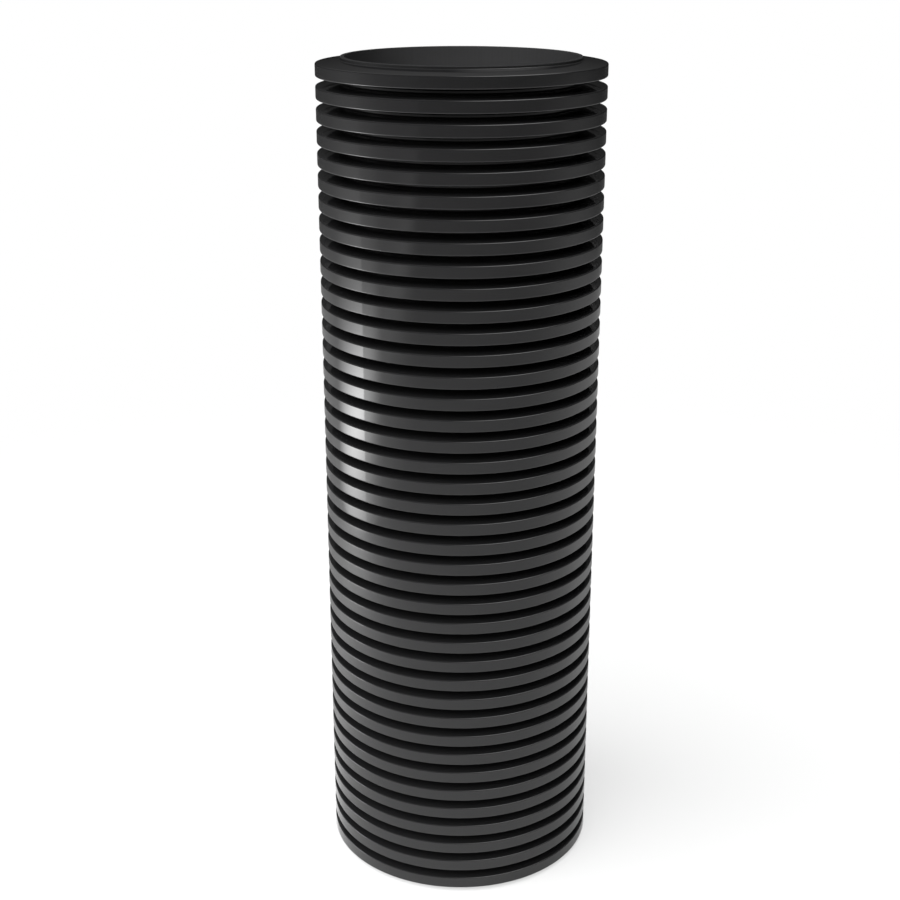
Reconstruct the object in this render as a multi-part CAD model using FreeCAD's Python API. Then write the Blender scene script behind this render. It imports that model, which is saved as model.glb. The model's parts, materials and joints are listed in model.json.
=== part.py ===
import FreeCAD, Part
import math
import os

# Twin-wall corrugated shaft pipe of an inspection chamber, all lengths in millimetres.
# The pipe stands on +Z with its origin at the middle of its lower end. Its outside is a row of
# hollow square-shouldered crests, its inside is a smooth liner, and both ends are sawn through
# a groove floor: the lower end across its middle, the upper end close under the next crest, so
# that a short straight neck stands above the top crest.

BORE_DIAMETER = 320.0
NECK_WALL = 6.0              # liner and corrugated wall welded together under a groove
CORRUGATION_DEPTH = 34.0     # from the groove floor out to the crest
CREST_PITCH = 30.0
CREST_COUNT = 40
CREST_WIDTH = 17.0           # height of a crest's outer face, over its rounded edges
GROOVE_FLOOR_WIDTH = 4.5     # the rest of the pitch is the lean of the two groove sides
UPPER_NECK = 4.25            # straight wall left above the top crest's foot
CREST_EDGE_RADIUS = 1.8
GROOVE_FLOOR_RADIUS = 1.2
LIP_RADIUS = 0.5             # deburred edges of the sawn ends

LINER_WALL = 2.4             # inner wall under a hollow crest
CREST_WALL = 2.0             # corrugated wall round a hollow crest

BORE_RADIUS = BORE_DIAMETER / 2
TROUGH_RADIUS = BORE_RADIUS + NECK_WALL
CREST_RADIUS = TROUGH_RADIUS + CORRUGATION_DEPTH
LENGTH = CREST_COUNT * CREST_PITCH - GROOVE_FLOOR_WIDTH / 2 + UPPER_NECK
SIDE_LEAN = (CREST_PITCH - GROOVE_FLOOR_WIDTH - CREST_WIDTH) / 2


def unit(vector):
    return vector / vector.Length


def rounded_wire(corners):
    """Closed wire through corners given as (radius, height, rounding), in the XZ plane.

    A rounded corner becomes an arc that starts and ends rounding * tan(turn / 2) from the
    corner and bulges to the corner's side, its middle (1 / cos(turn / 2) - 1) * rounding away.
    """
    points = [FreeCAD.Vector(radius, 0, height) for radius, height, rounding in corners]
    starts, ends, arcs = [], [], []
    for i, corner in enumerate(points):
        rounding = corners[i][2]
        back = unit(points[i - 1] - corner)
        ahead = unit(points[(i + 1) % len(points)] - corner)
        turn = math.pi - back.getAngle(ahead)
        reach = rounding * math.tan(turn / 2)
        starts.append(corner + back * reach)
        ends.append(corner + ahead * reach)
        if rounding:
            middle = corner + unit(back + ahead) * rounding * (1 / math.cos(turn / 2) - 1)
            arcs.append(Part.Arc(starts[i], middle, ends[i]).toShape())
        else:
            arcs.append(None)
    edges = []
    for i in range(len(points)):
        if arcs[i]:
            edges.append(arcs[i])
        edges.append(Part.makeLine(ends[i], starts[(i + 1) % len(points)]))
    return Part.Wire(edges)


def ring(corners):
    """Solid of revolution round Z of a section given as rounded_wire takes it."""
    section = Part.Face(rounded_wire(corners))
    return section.revolve(FreeCAD.Vector(0, 0, 0), FreeCAD.Vector(0, 0, 1), 360)


def crest_corners(base):
    """The four corners of one crest, upwards, on the pitch that starts at height base."""
    lower_foot = base + GROOVE_FLOOR_WIDTH / 2
    upper_foot = base + CREST_PITCH - GROOVE_FLOOR_WIDTH / 2
    return [
        (TROUGH_RADIUS, lower_foot, GROOVE_FLOOR_RADIUS),
        (CREST_RADIUS, lower_foot + SIDE_LEAN, CREST_EDGE_RADIUS),
        (CREST_RADIUS, upper_foot - SIDE_LEAN, CREST_EDGE_RADIUS),
        (TROUGH_RADIUS, upper_foot, GROOVE_FLOOR_RADIUS),
    ]


def crest_hollow(base):
    """The sealed ring of air inside one crest, its sides parallel to the groove sides."""
    inner = BORE_RADIUS + LINER_WALL
    outer = CREST_RADIUS - CREST_WALL
    lean = SIDE_LEAN / CORRUGATION_DEPTH
    side_wall = CREST_WALL * math.hypot(1, lean)
    middle = base + CREST_PITCH / 2

    def half_width(radius):
        return CREST_WIDTH / 2 + (CREST_RADIUS - radius) * lean - side_wall

    return ring([
        (inner, middle - half_width(inner), 0),
        (outer, middle - half_width(outer), 0),
        (outer, middle + half_width(outer), 0),
        (inner, middle + half_width(inner), 0),
    ])


def shaft():
    """The whole pipe: its outer section turned round Z, less the hollow of every crest."""
    bases = [i * CREST_PITCH for i in range(CREST_COUNT)]
    outside = [corner for base in bases for corner in crest_corners(base)]
    body = ring(
        [(BORE_RADIUS, 0, LIP_RADIUS), (TROUGH_RADIUS, 0, LIP_RADIUS)]
        + outside
        + [(TROUGH_RADIUS, LENGTH, LIP_RADIUS), (BORE_RADIUS, LENGTH, LIP_RADIUS)]
    )
    return body.cut([crest_hollow(base) for base in bases])


os.makedirs("parts", exist_ok=True)
pipe = shaft()
pipe.exportStep("parts/corrugated_shaft.step")
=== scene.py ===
import json
import math

import bpy
import numpy as np
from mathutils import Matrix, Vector


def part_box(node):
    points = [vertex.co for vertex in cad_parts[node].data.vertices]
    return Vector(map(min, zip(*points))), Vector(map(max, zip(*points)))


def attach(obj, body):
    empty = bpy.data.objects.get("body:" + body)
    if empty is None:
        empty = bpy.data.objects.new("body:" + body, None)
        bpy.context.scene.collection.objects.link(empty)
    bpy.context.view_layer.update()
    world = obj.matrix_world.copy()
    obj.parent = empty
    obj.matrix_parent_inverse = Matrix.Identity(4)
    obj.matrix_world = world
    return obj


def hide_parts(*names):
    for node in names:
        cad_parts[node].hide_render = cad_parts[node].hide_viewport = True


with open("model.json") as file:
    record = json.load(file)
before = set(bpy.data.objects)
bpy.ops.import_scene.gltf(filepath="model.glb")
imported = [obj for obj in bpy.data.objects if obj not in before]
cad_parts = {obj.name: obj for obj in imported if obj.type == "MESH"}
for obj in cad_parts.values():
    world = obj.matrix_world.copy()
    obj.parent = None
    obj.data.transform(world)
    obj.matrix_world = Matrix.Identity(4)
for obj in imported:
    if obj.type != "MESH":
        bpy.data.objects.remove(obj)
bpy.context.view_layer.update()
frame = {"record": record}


# ---------------------------------------------------------------------------------------------
# The shaft pipe
# A corrugated riser pipe of black polypropylene: a moulded outer skin with hollow, square
# crests, welded at the foot of every groove to a smooth extruded liner. Both ends are sawn
# square, and the outer edge of the upper one is filed round.

MM = 0.001
mounts = {mount["name"]: mount for mount in frame["record"]["mounts"]}

BORE_RADIUS = mounts["shaft_bore"]["dims"]["r_mm"] * MM
NECK_WALL = 6.0 * MM
CREST_PITCH = 30.0 * MM
CREST_WIDTH = 17.0 * MM
GROOVE_FLOOR_WIDTH = 4.5 * MM
CREST_EDGE_ROUND = 1.8 * MM
GROOVE_FLOOR_ROUND = 1.2 * MM
LIP_ROUND = 0.5 * MM
LIP_FILED = 1.1 * MM        # round of the upper end's outer edge
SAWN_DEPTH = 0.88 * MM      # from each end, how far the dull cut face reaches
ROUND_THE_PIPE = 144        # facets round the pipe
ROUND_A_CORNER = 3          # facets round each small edge
DOWN_THE_BORE = 12          # facets down the liner

pipe_low, pipe_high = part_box("corrugated_shaft")
crest_radius = min(pipe_high.x, pipe_high.y, -pipe_low.x, -pipe_low.y)
pipe_length = pipe_high.z - pipe_low.z
crest_count = round(pipe_length / CREST_PITCH)


def pipe_corners():
    """Corners (radius, height, rounding) of the wall's section, counter-clockwise from the
    bore's foot. Each crest stands on its pitch between two half groove floors, and what is left
    of the pitch is the lean of its two sides."""
    trough = BORE_RADIUS + NECK_WALL
    lean = (CREST_PITCH - GROOVE_FLOOR_WIDTH - CREST_WIDTH) / 2
    foot = GROOVE_FLOOR_WIDTH / 2
    crest = np.array([
        [trough, foot, GROOVE_FLOOR_ROUND],
        [crest_radius, foot + lean, CREST_EDGE_ROUND],
        [crest_radius, foot + lean + CREST_WIDTH, CREST_EDGE_ROUND],
        [trough, CREST_PITCH - foot, GROOVE_FLOOR_ROUND],
    ])
    lift = np.arange(crest_count)[:, None, None] * CREST_PITCH * np.array([0, 1, 0])
    crests = (crest + lift).reshape(-1, 3)
    sill = [[BORE_RADIUS, 0, LIP_ROUND], [trough, 0, LIP_ROUND]]
    lip = [[trough, pipe_length, LIP_FILED], [BORE_RADIUS, pipe_length, LIP_ROUND]]
    return np.vstack([sill, crests, lip])


def rounded_section(corners, steps):
    """Points and outward normals of a closed section with every corner rounded.

    The arc at a corner has its centre on the corner's bisector, rounding / cos(turn / 2) away,
    and its normals turn evenly from the square of the side before to that of the side after."""
    points, rounding = corners[:, :2], corners[:, 2]
    ahead = np.roll(points, -1, 0) - points
    ahead /= np.linalg.norm(ahead, axis=1)[:, None]
    before = np.roll(ahead, 1, 0)
    turn = np.arctan2(
        before[:, 0] * ahead[:, 1] - before[:, 1] * ahead[:, 0],
        (before * ahead).sum(1),
    )
    inward = ahead - before
    inward /= np.linalg.norm(inward, axis=1)[:, None]
    centre = points + inward * (rounding / np.cos(turn / 2))[:, None]
    first = np.arctan2(-before[:, 0], before[:, 1])
    angle = first[:, None] + turn[:, None] * np.linspace(0, 1, steps + 1)
    normal = np.stack([np.cos(angle), np.sin(angle)], -1)
    reach = (np.sign(turn) * rounding)[:, None, None]
    return (centre[:, None] + normal * reach).reshape(-1, 2), normal.reshape(-1, 2)


def turned(name, section, normals, around):
    """Mesh of a closed section turned once round Z: point (radius, height) at angle a goes to
    (radius cos a, radius sin a, height), and its normal turns with it."""
    angle = np.arange(around) * (2 * math.pi / around)
    spin = np.stack([np.cos(angle), np.sin(angle)], -1)
    rows = len(section)

    def sweep(pairs):
        flat = pairs[:, None, 0, None] * spin
        tall = np.broadcast_to(pairs[:, None, 1, None], (rows, around, 1))
        return np.concatenate([flat, tall], -1).reshape(-1, 3)

    row, step = np.meshgrid(np.arange(rows), np.arange(around), indexing="ij")
    next_row, next_step = (row + 1) % rows, (step + 1) % around
    quads = np.stack([
        row * around + step,
        row * around + next_step,
        next_row * around + next_step,
        next_row * around + step,
    ], -1).reshape(-1, 4)
    mesh = bpy.data.meshes.new(name)
    mesh.from_pydata(sweep(section), [], quads)
    mesh.shade_smooth()
    mesh.normals_split_custom_set_from_vertices(sweep(normals))
    return mesh


section, section_normals = rounded_section(pipe_corners(), ROUND_A_CORNER)
bore_heights = np.linspace(section[-1, 1], section[0, 1], DOWN_THE_BORE + 1)[1:-1]
bore_rows = np.stack([np.full_like(bore_heights, BORE_RADIUS), bore_heights], -1)
section = np.vstack([section, bore_rows])
section_normals = np.vstack([section_normals, np.tile([-1.0, 0.0], (len(bore_rows), 1))])
pipe_mesh = turned("shaft_pipe", section, section_normals, ROUND_THE_PIPE)
shaft_pipe = bpy.data.objects.new("shaft_pipe", pipe_mesh)
bpy.context.scene.collection.objects.link(shaft_pipe)


class Nodes:
    """A node tree being wired: new nodes by short calls, sockets by name."""

    def __init__(self, tree):
        self.tree = tree

    def add(self, kind, settings=None, **inputs):
        """A new node; an input is given a value, or a socket to be linked to."""
        node = self.tree.nodes.new("ShaderNode" + kind)
        for name, value in (settings or {}).items():
            setattr(node, name, value)
        for name, value in inputs.items():
            self.plug(node, name.replace("_", " "), value)
        return node

    def plug(self, node, name, value):
        """Fill an input, found by its name or by its number in an 'input N' name."""
        key = int(name.split()[1]) if name.startswith("input ") else name
        if isinstance(value, bpy.types.NodeSocket):
            self.tree.links.new(value, node.inputs[key])
        else:
            node.inputs[key].default_value = value

    def math(self, operation, *values):
        node = self.add("Math", {"operation": operation})
        for number, value in enumerate(values):
            self.plug(node, f"input {number}", value)
        return node.outputs[0]

    def map(self, value, low, high, to_low, to_high, curve="LINEAR"):
        """The value moved from the range low..high to the range to_low..to_high."""
        return self.add("MapRange", {"interpolation_type": curve}, Value=value, From_Min=low,
                        From_Max=high, To_Min=to_low, To_Max=to_high).outputs["Result"]


def new_group(name, inputs, outputs):
    """An empty shader group with float inputs (name: default) and outputs, and its wiring."""
    tree = bpy.data.node_groups.new(name, "ShaderNodeTree")
    for label, value in inputs.items():
        kind = "NodeSocketVector" if value is None else "NodeSocketFloat"
        socket = tree.interface.new_socket(label, in_out="INPUT", socket_type=kind)
        if value is not None:
            socket.default_value = value
    for label in outputs:
        tree.interface.new_socket(label, in_out="OUTPUT", socket_type="NodeSocketFloat")
    wiring = Nodes(tree)
    return tree, wiring, wiring.tree.nodes.new("NodeGroupInput").outputs, \
        wiring.tree.nodes.new("NodeGroupOutput")


def skin_waver():
    """Group: the slow waver and fine orange peel that cooling leaves on a plastic skin.

    Gloss is a value between Low and High by a noise Patch metres across, and Peel is a height
    in metres, two noises Grain and Grain / 3 across, Height tall."""
    tree, wire, given, result = new_group(
        "skin_waver",
        {"Vector": None, "Patch": 0.03, "Low": 0.05, "High": 0.1, "Grain": 0.006,
         "Height": 0.00002},
        ["Gloss", "Peel"],
    )
    patch = wire.add("TexNoise", Vector=given["Vector"], Detail=3.0,
                     Scale=wire.math("DIVIDE", 1.0, given["Patch"]))
    gloss = wire.map(patch.outputs[0], 0.32, 0.68, given["Low"], given["High"], "SMOOTHSTEP")
    grain = wire.add("TexNoise", Vector=given["Vector"], Detail=1.0,
                     Scale=wire.math("DIVIDE", 1.0, given["Grain"]))
    fine = wire.add("TexNoise", Vector=given["Vector"], Detail=0.0,
                    Scale=wire.math("DIVIDE", 3.0, given["Grain"]))
    peel = wire.math("MULTIPLY_ADD", fine.outputs[0], 0.3, grain.outputs[0])
    wire.plug(result, "Gloss", gloss)
    wire.plug(result, "Peel", wire.math("MULTIPLY", peel, given["Height"]))
    return tree


def drawn_streaks():
    """Group: streaks that a die or a mould draws along one way of the pipe.

    The object's place becomes (angle round the pipe, radius, height), each divided by its own
    length, so a small length makes thin lines; Streak is a noise from 0 to 1 on that place."""
    tree, wire, given, result = new_group(
        "drawn_streaks",
        {"Vector": None, "Turn": 0.02, "Rise": 0.5},
        ["Streak", "Angle", "Radius", "Height"],
    )
    split = wire.add("SeparateXYZ", Vector=given["Vector"]).outputs
    angle = wire.math("ARCTAN2", split["Y"], split["X"])
    flat = wire.add("CombineXYZ", X=split["X"], Y=split["Y"]).outputs[0]
    radius = wire.add("VectorMath", {"operation": "LENGTH"}, input_0=flat).outputs["Value"]
    place = wire.add(
        "CombineXYZ",
        X=wire.math("DIVIDE", wire.math("COSINE", angle), given["Turn"]),
        Y=wire.math("DIVIDE", wire.math("SINE", angle), given["Turn"]),
        Z=wire.math("DIVIDE", split["Z"], given["Rise"]),
    ).outputs[0]
    noise = wire.add("TexNoise", Vector=place, Scale=1.0, Detail=4.0)
    wire.plug(result, "Streak", wire.map(noise.outputs[0], 0.3, 0.7, 0.0, 1.0))
    wire.plug(result, "Angle", angle)
    wire.plug(result, "Radius", radius)
    wire.plug(result, "Height", split["Z"])
    return tree


def handling_scuffs():
    """Group: short fine scratches and rubbed spots from stacking and carrying.

    Mark is 1 on a scuff and 0 off it: thin crossings of a stretched noise, kept only where a
    broad noise passes 1 - Amount."""
    tree, wire, given, result = new_group(
        "handling_scuffs", {"Vector": None, "Amount": 0.3, "Length": 0.02}, ["Mark"])
    stretched = wire.add("VectorMath", {"operation": "MULTIPLY"}, input_0=given["Vector"],
                         input_1=(1.0, 1.0, 9.0)).outputs[0]
    lines = wire.add("TexNoise", Vector=stretched, Detail=2.0, Distortion=0.4,
                     Scale=wire.math("DIVIDE", 1.0, given["Length"]))
    off_line = wire.math("ABSOLUTE", wire.math("SUBTRACT", lines.outputs[0], 0.5))
    thin = wire.map(off_line, 0.0, 0.012, 1.0, 0.0, "SMOOTHSTEP")
    where = wire.add("TexNoise", Vector=given["Vector"], Scale=9.0, Detail=3.0)
    kept = wire.map(where.outputs[0], wire.math("SUBTRACT", 0.85, given["Amount"]), 0.85,
                    0.0, 1.0, "SMOOTHSTEP")
    wire.plug(result, "Mark", wire.math("MULTIPLY", thin, kept))
    return tree


waver_group, streak_group, scuff_group = skin_waver(), drawn_streaks(), handling_scuffs()


def plastic(name):
    """A new material with its wiring, its Principled shader and the object's own place."""
    material = bpy.data.materials.new(name)
    material.use_nodes = True
    wire = Nodes(material.node_tree)
    shader = material.node_tree.nodes["Principled BSDF"]
    place = wire.add("TexCoord").outputs["Object"]
    return material, wire, shader, place


def grouped(wire, group, place, **inputs):
    """A node of one of the shared groups, at this place and with these values."""
    node = wire.add("Group", {"node_tree": group}, Vector=place)
    for name, value in inputs.items():
        wire.plug(node, name, value)
    return node.outputs


def shade(wire, dark, light, factor):
    """Colour between dark and light greys by a factor."""
    mix = wire.add("Mix", {"data_type": "RGBA"})
    wire.plug(mix, "input 0", factor)
    wire.plug(mix, "input 6", (*dark, 1.0))
    wire.plug(mix, "input 7", (*light, 1.0))
    return mix.outputs[2]


SKIN_BLACK = (0.0115, 0.0115, 0.0119)
SKIN_RUBBED = (0.019, 0.019, 0.0196)
RING_HEIGHT = 0.002 * MM
JOINT_HEIGHT = 0.12 * MM
JOINT_WIDTH = 0.0022        # as the sine of its angle round the pipe


def moulded_black_skin():
    """Deep glossy black of the outer wall: faint rings where it was drawn against the mould,
    orange peel, rubbed crest edges, and a hair line down each side where the moulds meet."""
    material, wire, shader, place = plastic("moulded_black_skin")
    waver = grouped(wire, waver_group, place, Patch=0.045, Low=0.045, High=0.075,
                    Grain=0.011, Height=0.000004)
    rings = grouped(wire, streak_group, place, Turn=2.2, Rise=0.0035)
    scuffs = grouped(wire, scuff_group, place, Amount=0.32, Length=0.03)
    outermost = wire.map(rings["Radius"], crest_radius - 1.2 * MM, crest_radius - 0.3 * MM,
                         0.0, 1.0)
    past_side = wire.math("ABSOLUTE", wire.math("SINE", rings["Angle"]))
    joint = wire.map(past_side, 0.0, JOINT_WIDTH, 1.0, 0.0, "SMOOTHSTEP")
    rubbed = wire.math("MULTIPLY", scuffs["Mark"], outermost)
    rough = wire.math("MULTIPLY_ADD", rings["Streak"], 0.012, waver["Gloss"])
    rough = wire.math("MULTIPLY_ADD", rubbed, 0.16, rough)
    wire.plug(shader, "Roughness", wire.math("MULTIPLY_ADD", joint, 0.1, rough))
    wire.plug(shader, "Base Color", shade(wire, SKIN_BLACK, SKIN_RUBBED, rubbed))
    height = wire.math("MULTIPLY_ADD", rings["Streak"], RING_HEIGHT, waver["Peel"])
    height = wire.math("MULTIPLY_ADD", joint, JOINT_HEIGHT, height)
    bump = wire.add("Bump", Height=height, Distance=1.0, Strength=1.0)
    wire.plug(shader, "Normal", bump.outputs[0])
    return material


LINER_BLACK = (0.033, 0.033, 0.0337)
LINER_STREAK = (0.037, 0.037, 0.0377)
LINER_SHINE = 0.2
STREAK_HEIGHT = 0.01 * MM
WELD_HEIGHT = 0.04 * MM


def extruded_black_liner():
    """Satin black of the liner: long streaks off the die, a soft ring where it is welded under
    each groove, and fine rubs."""
    material, wire, shader, place = plastic("extruded_black_liner")
    waver = grouped(wire, waver_group, place, Patch=0.06, Low=0.5, High=0.6,
                    Grain=0.004, Height=0.00001)
    streaks = grouped(wire, streak_group, place, Turn=0.011, Rise=0.6)
    scuffs = grouped(wire, scuff_group, place, Amount=0.3, Length=0.04)
    wire.plug(shader, "Base Color", shade(wire, LINER_BLACK, LINER_STREAK, streaks["Streak"]))
    wire.plug(shader, "Specular IOR Level", LINER_SHINE)
    rough = wire.math("MULTIPLY_ADD", streaks["Streak"], -0.06, waver["Gloss"])
    wire.plug(shader, "Roughness", wire.math("MULTIPLY_ADD", scuffs["Mark"], 0.12, rough))
    per_pitch = wire.math("MULTIPLY", streaks["Height"], 2 * math.pi / CREST_PITCH)
    weld = wire.math("MULTIPLY", wire.math("COSINE", per_pitch), WELD_HEIGHT)
    height = wire.math("MULTIPLY_ADD", streaks["Streak"], STREAK_HEIGHT, waver["Peel"])
    bump = wire.add("Bump", Height=wire.math("ADD", height, weld), Distance=1.0, Strength=1.0)
    wire.plug(shader, "Normal", bump.outputs[0])
    return material


SAWN_BLACK = (0.015, 0.015, 0.0154)
SAWN_RIDGE = (0.027, 0.027, 0.0277)
SAWN_SHINE = 0.12
SAW_MARK_HEIGHT = 0.04 * MM


def sawn_end():
    """Dull cut face of the two ends, with the fine straight marks of the saw's teeth."""
    material, wire, shader, place = plastic("sawn_end")
    waver = grouped(wire, waver_group, place, Patch=0.02, Low=0.42, High=0.6,
                    Grain=0.0015, Height=0.00002)
    teeth = wire.add("TexWave", {"bands_direction": "X"}, Vector=place, Scale=190.0,
                     Distortion=1.6, Detail=2.0, Detail_Scale=1.0)
    wire.plug(shader, "Base Color", shade(wire, SAWN_BLACK, SAWN_RIDGE, teeth.outputs[1]))
    wire.plug(shader, "Roughness", waver["Gloss"])
    wire.plug(shader, "Specular IOR Level", SAWN_SHINE)
    height = wire.math("MULTIPLY_ADD", teeth.outputs[1], SAW_MARK_HEIGHT, waver["Peel"])
    bump = wire.add("Bump", Height=height, Distance=1.0, Strength=1.0)
    wire.plug(shader, "Normal", bump.outputs[0])
    return material


for finish in (moulded_black_skin, extruded_black_liner, sawn_end):
    pipe_mesh.materials.append(finish())
SKIN, LINER, SAWN = 0, 1, 2
centres = np.empty(len(pipe_mesh.polygons) * 3)
pipe_mesh.polygons.foreach_get("center", centres)
centres = centres.reshape(-1, 3)
radius = np.hypot(centres[:, 0], centres[:, 1])
from_end = np.minimum(centres[:, 2], pipe_length - centres[:, 2])
facing = np.full(len(centres), SKIN, dtype=np.int32)
facing[radius < BORE_RADIUS + LIP_ROUND / 2] = LINER
facing[(from_end < SAWN_DEPTH) & (radius >= BORE_RADIUS + LIP_ROUND / 2)] = SAWN
pipe_mesh.polygons.foreach_set("material_index", facing)

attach(shaft_pipe, "root")
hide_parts("corrugated_shaft")


# ---------------------------------------------------------------------------------------------
# Floor
# A broad sheet of pale paper that melts into a white surround. What the pipe mirrors of it has a
# painted pool of light and painted shade in its colour: bright in front and to both sides,
# darker far off and behind.

FLOOR_RADIUS = 14.0
PAPER = 0.8
PAPER_SEEN = 0.95           # where it is looked at directly
# The paper's colour that reflections see holds a painted pool of light and painted shade:
HALF_BRIGHT_AT = 3.5        # metres from the pipe
FALL_OFF = 1.25             # power of the distance that it dims by
SIDE_GAIN = 0.8             # painted brighter by this far off to either side
BEHIND_NEAR = 0.2           # painted light left straight behind, 0.25 m from the pipe; the rest is painted shade
BEHIND_MIDDLE = 0.5         # the same, 3 m from it
BEHIND_FAR = 0.19           # the same, 5 m from it and beyond
PAINTED_GLOW_CENTRE = (-1.5, -0.13)     # foot of the diffuser panel, where a painted glow makes the paper brightest
PAINTED_GLOW_WIDTH = 0.5
PAINTED_GLOW_STRENGTH = 0.75
MELTED_LEAST = 0.6          # share of the white surround close to the pipe

turn = np.linspace(0, 2 * math.pi, 97)[:-1]
rim = np.stack([FLOOR_RADIUS * np.cos(turn), FLOOR_RADIUS * np.sin(turn), 0 * turn], -1)
floor_mesh = bpy.data.meshes.new("floor")
floor_mesh.from_pydata(rim, [], [list(range(len(rim)))])
floor = bpy.data.objects.new("floor", floor_mesh)
bpy.context.scene.collection.objects.link(floor)

paper = bpy.data.materials.new("floor_paper")
paper.use_nodes = True
floor_mesh.materials.append(paper)
paper.node_tree.nodes.clear()
wire = Nodes(paper.node_tree)
place = wire.add("TexCoord").outputs["Object"]
split = wire.add("SeparateXYZ", Vector=place).outputs
away = wire.add("VectorMath", {"operation": "LENGTH"}, input_0=place).outputs["Value"]
seen = wire.add("LightPath").outputs["Is Camera Ray"]
unseen = wire.math("SUBTRACT", 1.0, seen)
# Painted pool of light and painted shade in the paper's colour for reflections: dimmer far off
# and behind, brighter to the sides
spread = wire.math("POWER", wire.math("DIVIDE", away, HALF_BRIGHT_AT), FALL_OFF)
painted_light_pool = wire.math("DIVIDE", PAPER, wire.math("ADD", spread, 1.0))
# -1 in front of the pipe, 0 beside it and 1 behind it
behind = wire.math("DIVIDE", split["Y"], wire.math("MAXIMUM", away, 0.01))
behind_close = wire.map(away, 0.25, 3.0, BEHIND_NEAR, BEHIND_MIDDLE)
near = wire.map(behind, 0.2, 1.0, 1.0, behind_close, "SMOOTHSTEP")
far = wire.map(behind, 0.0, 0.85, 1.0, BEHIND_FAR, "SMOOTHSTEP")
how_far = wire.map(away, 3.0, 5.2, 0.0, 1.0, "SMOOTHSTEP")
painted_shade_behind = wire.add("Mix", {"data_type": "FLOAT"}, Factor=how_far)
wire.plug(painted_shade_behind, "input 2", near)
wire.plug(painted_shade_behind, "input 3", far)
sideways = wire.map(behind, -0.8, 0.0, 0.0, 1.0, "SMOOTHSTEP")
farther = wire.math("DIVIDE", away, wire.math("ADD", away, HALF_BRIGHT_AT))
to_sides = wire.math("MULTIPLY", sideways, wire.math("MULTIPLY", farther, SIDE_GAIN))
painted_tone = wire.math("MULTIPLY", painted_light_pool, painted_shade_behind.outputs[0])
painted_tone = wire.math("MULTIPLY", painted_tone, wire.math("ADD", to_sides, 1.0))
choose = wire.add("Mix", {"data_type": "FLOAT"}, Factor=seen)
wire.plug(choose, "input 2", painted_tone)
wire.plug(choose, "input 3", PAPER_SEEN)
diffuse = wire.add("BsdfDiffuse", Color=choose.outputs[0]).outputs[0]
# Painted glow: the paper itself emits light round the diffuser panel's foot, seen only in
# reflections
from_painted_glow = wire.add("VectorMath", {"operation": "DISTANCE"}, input_0=place,
                     input_1=(*PAINTED_GLOW_CENTRE, 0.0)).outputs["Value"]
ratio = wire.math("DIVIDE", from_painted_glow, PAINTED_GLOW_WIDTH)
painted_glow = wire.math("DIVIDE", PAINTED_GLOW_STRENGTH, wire.math("MULTIPLY_ADD", ratio, ratio, 1.0))
painted_glow = wire.math("MULTIPLY", painted_glow, unseen)
paper_and_painted_glow = wire.add("AddShader")
wire.plug(paper_and_painted_glow, "input 0", diffuse)
wire.plug(paper_and_painted_glow, "input 1", wire.add("Emission", Strength=painted_glow).outputs[0])
melted = wire.map(away, 0.3, 2.4, MELTED_LEAST, 1.0, "SMOOTHSTEP")
surround = wire.add("MixShader", Fac=wire.math("MULTIPLY", melted, seen))
wire.plug(surround, "input 1", paper_and_painted_glow.outputs[0])
wire.plug(surround, "input 2", wire.add("BsdfTransparent").outputs[0])
wire.add("OutputMaterial", Surface=surround.outputs[0])


# ---------------------------------------------------------------------------------------------
# Light
# A dim room that brightens upwards, a broad soft key light from the left that glossy faces don't
# mirror, a wide softbox high on the right that lines the crest edges, and an upright diffuser
# panel low on the left.

ROOM_LOW = 0.015            # level with the floor
ROOM_RISE = 0.1             # added in step with the sine of the height above it
ROOM_TOP = 1.2              # added in step with the cube of that sine
ROOM_MOST = 0.4             # the brightest that any part gets

world = bpy.data.worlds.new("studio")
bpy.context.scene.world = world
world.use_nodes = True
world.node_tree.nodes.clear()
wire = Nodes(world.node_tree)
way = wire.add("TexCoord").outputs["Generated"]
rise = wire.math("MAXIMUM", wire.add("SeparateXYZ", Vector=way).outputs["Z"], 0.0)
room = wire.math("MULTIPLY_ADD", rise, ROOM_RISE, ROOM_LOW)
room = wire.math("MULTIPLY_ADD", wire.math("POWER", rise, 3.0), ROOM_TOP, room)
level = wire.math("MINIMUM", room, ROOM_MOST)
seen = wire.add("LightPath").outputs["Is Camera Ray"]
choose = wire.add("Mix", {"data_type": "FLOAT"}, Factor=seen)
wire.plug(choose, "input 2", level)
wire.plug(choose, "input 3", 1.0)
sky = wire.add("Background", Color=(1.0, 1.0, 1.0, 1.0), Strength=choose.outputs[0])
wire.add("OutputWorld", Surface=sky.outputs[0])


def from_front(turn, tilt):
    """Unit vector towards a light, turned right from straight in front and tilted up."""
    turn, tilt = math.radians(turn), math.radians(tilt)
    return Vector((math.sin(turn) * math.cos(tilt), -math.cos(turn) * math.cos(tilt),
                   math.sin(tilt)))


def hang(name, data, place, way):
    """An object of this data at place, with its local -Z along way."""
    holder = bpy.data.objects.new(name, data)
    holder.location = place
    holder.rotation_euler = way.to_track_quat("-Z", "Y").to_euler()
    holder.visible_camera = False
    bpy.context.scene.collection.objects.link(holder)
    return holder


def screen(name, corners):
    """A mesh of one face with these corners, and its emission-only material's wiring."""
    mesh = bpy.data.meshes.new(name)
    mesh.from_pydata(corners, [], [list(range(len(corners)))])
    cloth = bpy.data.materials.new(name + "_cloth")
    cloth.use_nodes = True
    mesh.materials.append(cloth)
    cloth.node_tree.nodes.clear()
    wire = Nodes(cloth.node_tree)
    return mesh, wire, wire.add("TexCoord").outputs["Object"]


def glow_through(wire, brightness):
    """Finish a screen's material: it glows, and what is behind it still shows through."""
    through = wire.add("AddShader")
    wire.plug(through, "input 0", wire.add("Emission", Strength=brightness).outputs[0])
    wire.plug(through, "input 1", wire.add("BsdfTransparent").outputs[0])
    wire.add("OutputMaterial", Surface=through.outputs[0])


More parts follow.
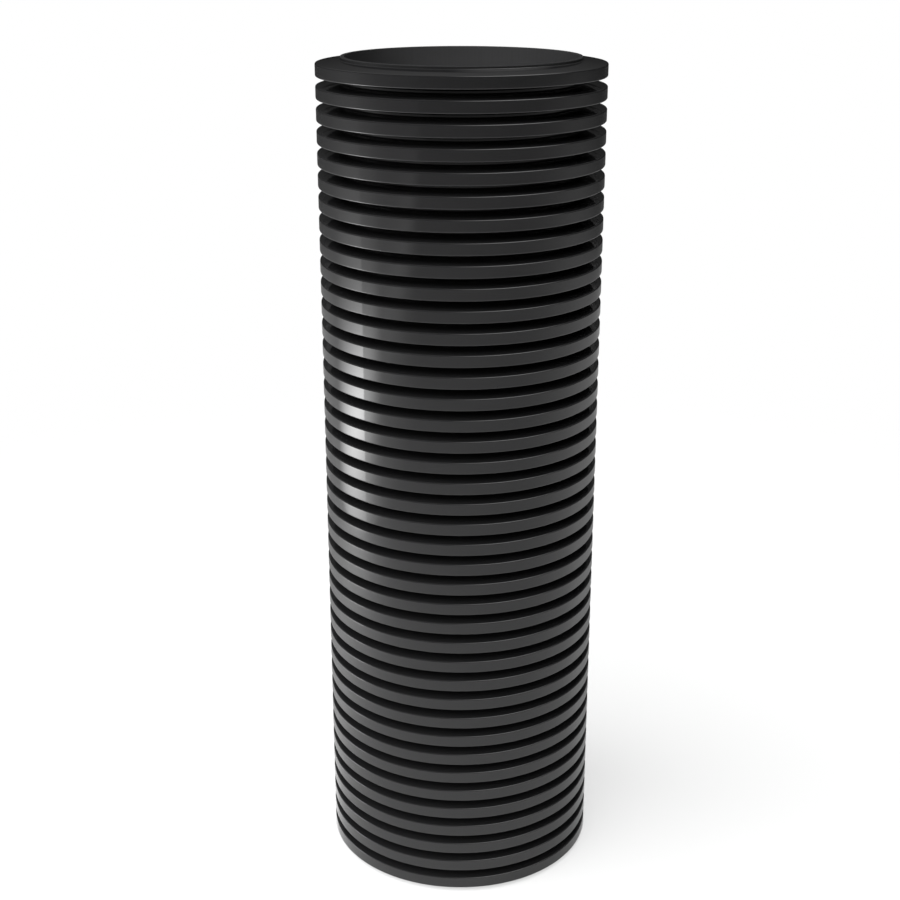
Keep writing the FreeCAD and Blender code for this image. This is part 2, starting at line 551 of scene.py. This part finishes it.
key = bpy.data.lights.new("key_light", "SUN")
key.energy = 4.3
key.angle = math.radians(80)
key_way = from_front(-42, 47)
hang("key_light", key, key_way * 4, -key_way).visible_glossy = False

EDGE_LIGHT = 4.8
EDGE_LIGHT_WIDE = 3.7       # half its width
EDGE_LIGHT_TALL = 1.7       # half its height
EDGE_LIGHT_OFF = 2.8        # metres from the pipe's top
flat = np.array([[-1, -1, 0], [1, -1, 0], [1, 1, 0], [-1, 1, 0]])
edge_mesh, wire, place = screen("edge_softbox", flat * [EDGE_LIGHT_WIDE, EDGE_LIGHT_TALL, 1])
shrunk = wire.add("VectorMath", {"operation": "DIVIDE"}, input_0=place,
                  input_1=(EDGE_LIGHT_WIDE, EDGE_LIGHT_TALL, 1.0)).outputs[0]
off_middle = wire.add("VectorMath", {"operation": "LENGTH"}, input_0=shrunk).outputs["Value"]
glow_through(wire, wire.map(off_middle, 0.0, 1.0, EDGE_LIGHT, 0.0, "SMOOTHSTEP"))
edge_way = from_front(43, 35)
edge_place = Vector((0, 0, pipe_length)) + edge_way * EDGE_LIGHT_OFF
edge_softbox = hang("edge_softbox", edge_mesh, edge_place, -edge_way)
edge_softbox.visible_diffuse = False

PANEL_X = -1.5
PANEL_HALF_WIDTH = 2.8
PANEL_HEIGHT = 1.8
PANEL_CORE = 10.5
PANEL_CORE_HEIGHT = 0.285
PANEL_CORE_SLANT = 0.178    # its middle drops this much for each metre back
PANEL_CORE_TALL = 0.25      # from its middle to a quarter of its brightness
PANEL_CORE_EDGE = -0.22     # where its front half drops to a dimmer one
PANEL_HALO = 0.27
upright = np.array([[0, -1, 0], [0, 1, 0], [0, 1, 1], [0, -1, 1]])
panel_corners = upright * [1, PANEL_HALF_WIDTH, PANEL_HEIGHT] + [PANEL_X, 0, 0]
panel_mesh, wire, place = screen("diffuser_panel", panel_corners)
diffuser_panel = bpy.data.objects.new("diffuser_panel", panel_mesh)
diffuser_panel.visible_camera = False
bpy.context.scene.collection.objects.link(diffuser_panel)
split = wire.add("SeparateXYZ", Vector=place).outputs


def bell(value, middle, width):
    """1 / (1 + ((value - middle) / width) squared)."""
    off = wire.math("DIVIDE", wire.math("SUBTRACT", value, middle), width)
    return wire.math("DIVIDE", 1.0, wire.math("MULTIPLY_ADD", off, off, 1.0))


behind_core = wire.map(split["Y"], -0.13, 0.82, 1.0, 0.0, "SMOOTHSTEP")
before_core = wire.map(split["Y"], -0.8, PANEL_CORE_EDGE, 0.05, 0.43, "SMOOTHSTEP")
hard_edge = wire.map(split["Y"], PANEL_CORE_EDGE - 0.008, PANEL_CORE_EDGE + 0.008, 0.0, 1.0)
across = wire.add("Mix", {"data_type": "FLOAT"}, Factor=hard_edge)
wire.plug(across, "input 2", before_core)
wire.plug(across, "input 3", behind_core)
slanted = wire.math("MULTIPLY_ADD", split["Y"], PANEL_CORE_SLANT, split["Z"])
up_core = bell(slanted, PANEL_CORE_HEIGHT, PANEL_CORE_TALL)
core = wire.math("MULTIPLY", across.outputs[0], wire.math("MULTIPLY", up_core, up_core))
halo = wire.math("MULTIPLY", bell(split["Y"], -0.1, 1.1), bell(split["Z"], 0.25, 0.6))
# The cloth's front, back and top borders are unlit
fade_back = wire.map(split["Y"], 1.6, 2.7, 1.0, 0.0, "SMOOTHSTEP")
fade_front = wire.map(split["Y"], -2.7, -1.3, 0.0, 1.0, "SMOOTHSTEP")
fade_top = wire.map(split["Z"], 1.1, PANEL_HEIGHT, 1.0, 0.0, "SMOOTHSTEP")
bright = wire.math("MULTIPLY_ADD", core, PANEL_CORE, wire.math("MULTIPLY", halo, PANEL_HALO))
for fade in (fade_back, fade_front, fade_top):
    bright = wire.math("MULTIPLY", bright, fade)
glow_through(wire, bright)


# ---------------------------------------------------------------------------------------------
# Camera
# It looks down a little on the standing pipe from just in front of it.

camera_data = bpy.data.cameras.new("camera")
camera_data.sensor_width = 36.0
camera_data.lens = 60.18
camera = bpy.data.objects.new("camera", camera_data)
camera.location = (-0.0157, -2.112, 1.373)
camera.rotation_euler = (math.radians(90 - 19.33), 0, 0)
bpy.context.scene.collection.objects.link(camera)
bpy.context.scene.camera = camera

bpy.context.scene.view_settings.view_transform = "Standard"
